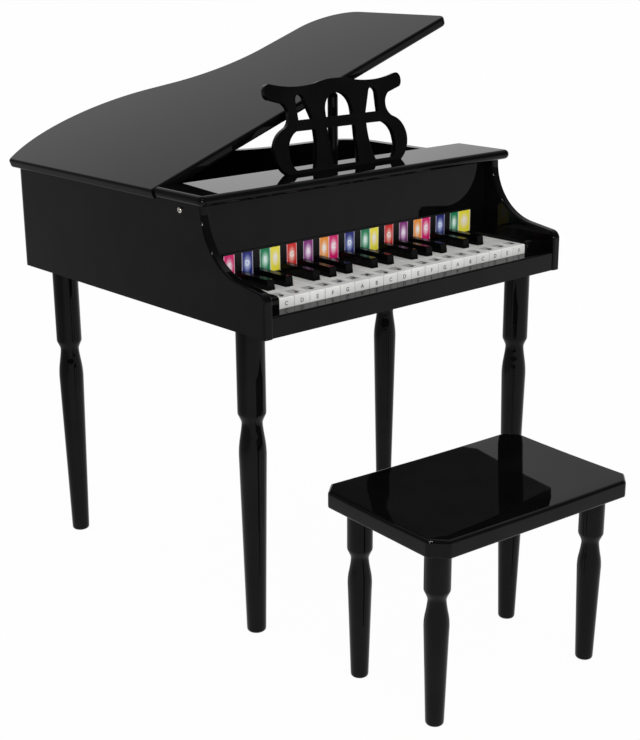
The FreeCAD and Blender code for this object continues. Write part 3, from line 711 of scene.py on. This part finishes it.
# %% Places and letters of the notes
patch_inset = 5.2 * MM
letter_film = 0.06 * MM
letter_bold = 0.025
letter_curve = 4
font_per_capital = 1.4
card_low, card_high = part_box("note_card")
white_keys = [part["node"] for part in parts if part["material_slot"] == "white_key"]
black_keys = [part["node"] for part in parts if part["material_slot"] == "black_key"]
sharp_middles = [sum(corner.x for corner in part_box(node)) / 2 for node in black_keys]
key_pitch = (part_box(white_keys[-1])[0].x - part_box(white_keys[0])[0].x) / (len(white_keys) - 1)
joint_reach = key_pitch / 3


def note_of(node):
    """Note in a key's name, such as d in key_03_d."""
    return node.split("_")[2]


def patch_span(number):
    """Left and right end of a white key's patch, clear of a black key at either joint."""
    left = card_low.x + number * key_pitch
    right = left + key_pitch
    for middle in sharp_middles:
        if abs(middle - left) < joint_reach:
            left = middle + patch_inset
        if abs(middle - right) < joint_reach:
            right = middle - patch_inset
    return left, right


def lettering(text, size, place, finish):
    """Letter that stands upright and faces the player, a film thick."""
    choose()
    bpy.ops.object.text_add(location=place, rotation=(math.radians(90), 0, 0))
    letter = bpy.context.object
    letter.data.body = text
    letter.data.size = size * font_per_capital
    letter.data.align_x = "CENTER"
    letter.data.align_y = "CENTER"
    letter.data.extrude = letter_film / 2
    letter.data.resolution_u = letter_curve
    letter.data.offset = size * letter_bold
    bpy.ops.object.convert(target="MESH")
    return paint(settle(bpy.context.object, "letter_" + text), finish)


print("white keys every", round(key_pitch / MM, 2), "mm, with", len(black_keys), "black keys between them")

# %% Patches on the note card
patch_film = 0.15 * MM
patch_top = 2.0 * MM
patch_foot = 1.0 * MM
card_letter = 6.4 * MM
letter_rise = 1.3 * MM
prints = []
for number, node in enumerate(white_keys):
    note = note_of(node)
    left, right = patch_span(number)
    low, high = card_low.z + patch_foot, card_high.z - patch_top
    middle = Vector(((left + right) / 2, card_low.y - patch_film, (low + high) / 2))
    choose()
    bpy.ops.mesh.primitive_plane_add(size=1, location=middle, rotation=(math.radians(90), 0, 0))
    bpy.context.object.scale = (right - left, high - low, 1)
    patch = settle(bpy.context.object, "patch_" + note)
    apply_modifier(patch, "SOLIDIFY", thickness=patch_film)
    prints.append(paint(patch, patch_inks[note]))
    at = middle + Vector((0, -letter_film / 2, letter_rise))
    prints.append(lettering(note.upper(), card_letter, at, letter_white))
card_print = join(prints, "note_card_print")
fit(card_print, "case")
print("made", card_print.name, "with", len(white_keys), "patches")

# %% [markdown]
# Each white key carries two small marks: its letter in grey on the front, and on top a little grey staff
# with the note in black where it stands in the scale. The staff is modelled once from thin bars and
# copied. The note's head is a disc squeezed to an oval and tilted; it stands half a line space higher
# for every note from C to B, and its stem points down from the middle line on.

# %% Staff and note
mark_film = 0.05 * MM
staff_lines = 5
staff_width = 13.0 * MM
line_space = 2.6 * MM
line_weight = 1.0 * MM
head_half = Vector((3.4, 2.6)) * MM
head_tilt = math.radians(20)
oval_sides = 24
stem_length = 9.0 * MM
stem_weight = 1.3 * MM


def staff(middle):
    """Five thin lines, lowest line through the given point."""
    bars = []
    for number in range(staff_lines):
        half = Vector((staff_width, line_weight, mark_film)) / 2
        at = middle + Vector((0, number * line_space, half.z))
        bars.append(block("staff_line", at - half, at + half))
    return paint(join(bars, "staff"), mark_grey)


def note_head(at, up):
    """Tilted oval with its stem."""
    choose()
    bpy.ops.mesh.primitive_cylinder_add(vertices=oval_sides, radius=1, depth=mark_film)
    head = bpy.context.object
    head.scale = (head_half.x, head_half.y, 1)
    head.rotation_euler.z = head_tilt
    head.location = at + Vector((0, 0, mark_film))
    settle(head, "note_head")
    side = 1 if up else -1
    foot = at + Vector((side * (head_half.x - stem_weight / 2), 0, mark_film))
    half = Vector((stem_weight, stem_length, mark_film)) / 2
    tip = foot + Vector((0, side * half.y, 0))
    stem = block("stem", tip - half, tip + half)
    return paint(join([head, stem], "note"), note_black)


first_staff = staff(Vector((0, 0, 0)))
print("made a staff of", [round(v / MM, 1) for v in first_staff.dimensions.xy], "mm")

# %% Marks on the white keys
front_letter = 4.8 * MM
front_drop = 7.0 * MM
staff_from_front = 11.0 * MM
low_note_step = -2
middle_line_step = staff_lines - 1


def key_face(node):
    """Middle of a key's front edge: its place across, its front and its top."""
    low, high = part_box(node)
    points = [v.co for v in frame["nodes"][node].data.vertices if v.co.y < card_low.y]
    return Vector(((low.x + high.x) / 2, low.y, max(p.z for p in points)))


for number, node in enumerate(white_keys):
    face = key_face(node)
    choose(first_staff)
    bpy.ops.object.duplicate()
    lines = bpy.context.object
    foot = face + Vector((0, staff_from_front, 0))
    lines.location = foot
    settle(lines, "staff")
    step = low_note_step + number % len(note_inks)
    note = note_head(foot + Vector((0, step * line_space / 2, 0)), step < middle_line_step)
    at = face + Vector((0, -mark_film / 2, -front_drop))
    letter = lettering(note_of(node).upper(), front_letter, at, mark_grey)
    marks = join([lines, note, letter], node + "_marks")
    fit(marks, node)
bpy.data.objects.remove(first_staff)
print("made marks for", len(white_keys), "white keys")

# %% [markdown]
# The camera stands where the photograph was taken from: in front and to the left, a little above the
# lid, with a longish lens. Its place was found by matching the corners of the case and the feet of the
# legs, so it is given as plain numbers, in metres and degrees, with the lens and film in millimetres.

# %% Camera
camera_place = (-1.13039, -1.21451, 0.77728)
camera_turn = -41.55
camera_dip = 17.43
camera_roll = -0.38
camera_lens = 66.86
film_width = 36.0
camera = bpy.data.objects.new("camera", bpy.data.cameras.new("camera"))
bpy.context.scene.collection.objects.link(camera)
camera.data.lens = camera_lens
camera.data.sensor_width = film_width
turn = Matrix.Rotation(math.radians(camera_turn), 4, "Z")
tilt = Matrix.Rotation(math.radians(90 - camera_dip), 4, "X")
roll = Matrix.Rotation(math.radians(camera_roll), 4, "Z")
camera.matrix_world = Matrix.Translation(camera_place) @ turn @ tilt @ roll
bpy.context.scene.camera = camera
print("camera at", [round(v, 3) for v in camera.matrix_world.translation])

# %% [markdown]
# Black lacquer shows its surroundings, so the room makes most of its look. The camera sees plain white
# behind the piano. Gloss sees a white room too, but one that is darker in front, above, to the left and
# far to the right, which keeps the upright faces black and gives the lid its slow change of grey. What
# lights the matt surfaces is a little less than white, so that the white keys keep their tone. A row of
# the table has an axis of the direction looked in, the stretch of it over which the tone changes, and the
# tone before and after.

# %% Room
room_light = 0.72
room_tones = (
    ("Y", -0.4, 0.1, 0.2, 1.0),
    ("Z", 0.1, 0.55, 1.0, 0.72),
    ("X", -0.35, 0.1, 0.3, 1.0),
    ("X", 0.62, 0.8, 1.0, 0.6))


def ray_kinds(tree):
    """Outputs that are 1 for rays from the camera, and for rays from gloss or glass."""
    ray = add_node(tree, "ShaderNodeLightPath", {})
    either = {0: (ray, "Is Glossy Ray"), 1: (ray, "Is Transmission Ray")}
    mirrored = add_node(tree, "ShaderNodeMath", either, operation="MAXIMUM")
    return (ray, "Is Camera Ray"), (mirrored, 0)


world = bpy.data.worlds.new("white_room")
bpy.context.scene.world = world
world.use_nodes = True
tree = world.node_tree
from_camera, from_gloss = ray_kinds(tree)
place = add_node(tree, "ShaderNodeTexCoord", {})
toward = add_node(tree, "ShaderNodeSeparateXYZ", {"Vector": (place, "Generated")})
room_seen = 1.0
for axis, start, end, first, last in room_tones:
    change = {"Value": (toward, axis), "From Min": start, "From Max": end, "To Min": first, "To Max": last}
    tone = add_node(tree, "ShaderNodeMapRange", change, interpolation_type="SMOOTHSTEP")
    darker = add_node(tree, "ShaderNodeMath", {0: room_seen, 1: (tone, 0)}, operation="MULTIPLY")
    room_seen = (darker, 0)
lit = add_node(tree, "ShaderNodeMapRange", {"Value": from_gloss, "To Min": room_light, "To Max": room_seen})
strength = add_node(tree, "ShaderNodeMapRange", {"Value": from_camera, "To Min": (lit, 0), "To Max": 1.0})
room = tree.nodes["Background"]
room.inputs["Color"].default_value = linear("#ffffff")
tree.links.new(strength.outputs[0], room.inputs["Strength"])
print("made", world.name, "with", len(room_tones), "changes of tone")

# %% [markdown]
# The floor is a very pale sheet. To the camera it glows almost white and keeps a faint shadow. For gloss its
# glow carries painted shade that falls darker towards the left and the back, which the lacquered seat and
# the sides then show.

# %% Floor
floor_size = 60.0
floor_cloud = 400.0
floor_show = 0.97
floor_gloom = 0.48
gloom_side = (-0.707, 0.707, 0.0)
gloom_start = 0.3
gloom_end = 1.0
choose()
bpy.ops.mesh.primitive_plane_add(size=floor_size)
floor = bpy.context.object
floor.name = "studio_floor"
pale_floor, tree, shader, place = new_finish("pale_floor", {"Roughness": 0.9, "Specular IOR Level": 0.0})
tint(tree, shader, speckle(tree, place, floor_cloud), "#f6f6f6", "#fbfbfb")
from_camera, from_gloss = ray_kinds(tree)
direct = add_node(tree, "ShaderNodeMath", {0: from_camera, 1: from_gloss}, operation="MAXIMUM")
shown = add_node(tree, "ShaderNodeMath", {0: (direct, 0), 1: floor_show}, operation="MULTIPLY")
# Painted shade: the glow that gloss sees falls darker towards the back left, where the floor would get less
# light.
far = add_node(tree, "ShaderNodeVectorMath", {0: (place, "Object"), 1: gloom_side}, operation="DOT_PRODUCT")
fall = {"Value": (far, "Value"), "From Min": gloom_start, "From Max": gloom_end,
        "To Min": 1.0, "To Max": floor_gloom}
gloom = add_node(tree, "ShaderNodeMapRange", fall, interpolation_type="SMOOTHSTEP")
strength = add_node(tree, "ShaderNodeMapRange", {"Value": from_camera, "To Min": (gloom, 0), "To Max": 1.0})
glow = add_node(tree, "ShaderNodeEmission", {"Color": linear("#ffffff"), "Strength": (strength, 0)})
mixed = add_node(tree, "ShaderNodeMixShader", {0: (shown, 0), 1: (shader, "BSDF"), 2: (glow, "Emission")})
tree.links.new(mixed.outputs[0], tree.nodes["Material Output"].inputs["Surface"])
paint(floor, pale_floor)
print("made", floor.name)

# %% [markdown]
# One big soft box in front lights the matt surfaces and is hidden from gloss, so that it doesn't veil the
# black. Three small lamps do the opposite: only gloss shows them, as the thin bright lines along rounded
# edges. Small lamps also leave only a small spot where a flat board happens to mirror one.

# %% Lamps
lamp_aim = Vector((0.0, 0.05, 0.4))
front_place = (-0.8, -1.9, 1.1)
soft_box_size = 1.4
soft_box_watts = 17
gloss_lamps = (
    ("small_front_lamp", 0.2, 3, front_place),
    ("small_high_lamp", 0.14, 10, (-1.1, -0.9, 2.1)),
    ("small_low_lamp", 0.12, 10, (-1.3, -1.0, 0.7)))


def square_lamp(name, size, watts, place):
    """Square lamp of this size in metres that faces the piano."""
    lamp = bpy.data.objects.new(name, bpy.data.lights.new(name, "AREA"))
    bpy.context.scene.collection.objects.link(lamp)
    lamp.data.size = size
    lamp.data.energy = watts
    lamp.location = place
    lamp.rotation_euler = (lamp_aim - lamp.location).to_track_quat("-Z", "Y").to_euler()
    return lamp


key_light = square_lamp("front_soft_box", soft_box_size, soft_box_watts, front_place)
key_light.visible_glossy = False
for name, size, watts, place in gloss_lamps:
    spark = square_lamp(name, size, watts, place)
    spark.visible_diffuse = False
bpy.context.scene.view_settings.view_transform = "Standard"
print("made", key_light.name, "and", len(gloss_lamps), "small lamps")
